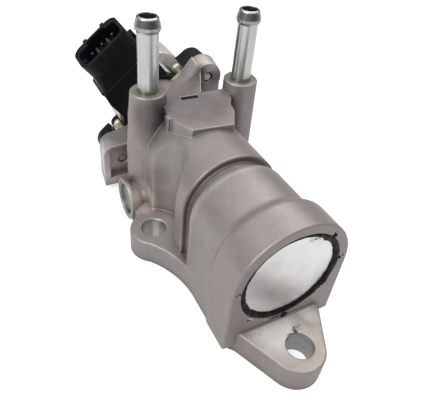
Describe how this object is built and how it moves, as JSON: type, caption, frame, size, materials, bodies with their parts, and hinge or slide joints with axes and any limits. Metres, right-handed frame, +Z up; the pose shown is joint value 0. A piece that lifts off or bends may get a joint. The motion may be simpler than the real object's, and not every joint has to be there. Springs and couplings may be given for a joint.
{
  "type": "exhaust gas recirculation valve",
  "caption": "Water-cooled exhaust gas valve: cast body with gasket flange, upright coolant pipes, bright end disc, stepper motor with plug socket.",
  "frame": {"origin": "on the gasket face, below the front end of the valve axis", "axes": "+Y along the valve axis from the bright front disc to the motor, +Z up away from the gasket face"},
  "size_m": [0.0604, 0.1578, 0.0786],
  "materials": {
    "cast_aluminium": "satin cast, warm grey",
    "bright_disc": "bright satin",
    "black_sealant": "rubbery",
    "zinc_plated_steel": "bright zinc plate",
    "dark_steel": "dull",
    "stainless_steel": "machined",
    "spring_steel": "oiled",
    "bush_bronze": "machined",
    "dark_rubber": "moulded",
    "black_plastic": "satin moulded",
    "motor_cap_steel": "matt plated",
    "gold_plated_brass": "bright",
    "screw_steel": "zinc plated",
    "tinned_pins": "bright",
    "magnet": "ground",
    "copper_winding": "enamelled wire"
  },
  "bodies": {
    "housing": {"valve_body": "cast_aluminium", "end_plug": "bright_disc", "plug_sealant": "black_sealant", "coolant_pipe_left": "zinc_plated_steel", "coolant_pipe_right": "zinc_plated_steel", "side_core_plug": "dark_steel", "valve_seat": "stainless_steel", "stem_bush": "bush_bronze", "stem_seal": "dark_rubber", "seal_keeper": "stainless_steel", "return_spring": "spring_steel", "motor_housing": "black_plastic", "motor_can": "motor_cap_steel", "mounting_sleeves": "gold_plated_brass", "motor_screws": "screw_steel", "flange_seal": "dark_rubber", "terminal_pins": "tinned_pins", "bearing_front": "dark_steel", "bearing_rear": "dark_steel", "coil_front": "copper_winding", "coil_rear": "copper_winding", "rear_holder": "black_plastic"},
    "valve": {"valve_poppet": "stainless_steel", "spring_cap": "stainless_steel", "stem_clip": "stainless_steel", "spindle": "stainless_steel"},
    "rotor": {"rotor_nut": "bush_bronze", "rotor_magnet": "magnet"}
  },
  "joints": [
    {"name": "valve_lift", "type": "slide", "parent": "housing", "child": "valve", "axis": [0, -1, 0], "range_m": [0, 0.0046], "stiffness_N_per_m": 2000, "springref_m": -0.004, "deforming": ["return_spring"]},
    {"name": "rotor_turn", "type": "hinge", "parent": "housing", "child": "rotor", "pos_m": [0, 0.11, 0.0286], "axis": [0, 1, 0], "range_deg": [0, 552.5]}
  ],
  "couplings": [
    {"joint": "rotor_turn", "follows": "valve_lift", "rad_per_m": 2094.4}
  ]
}
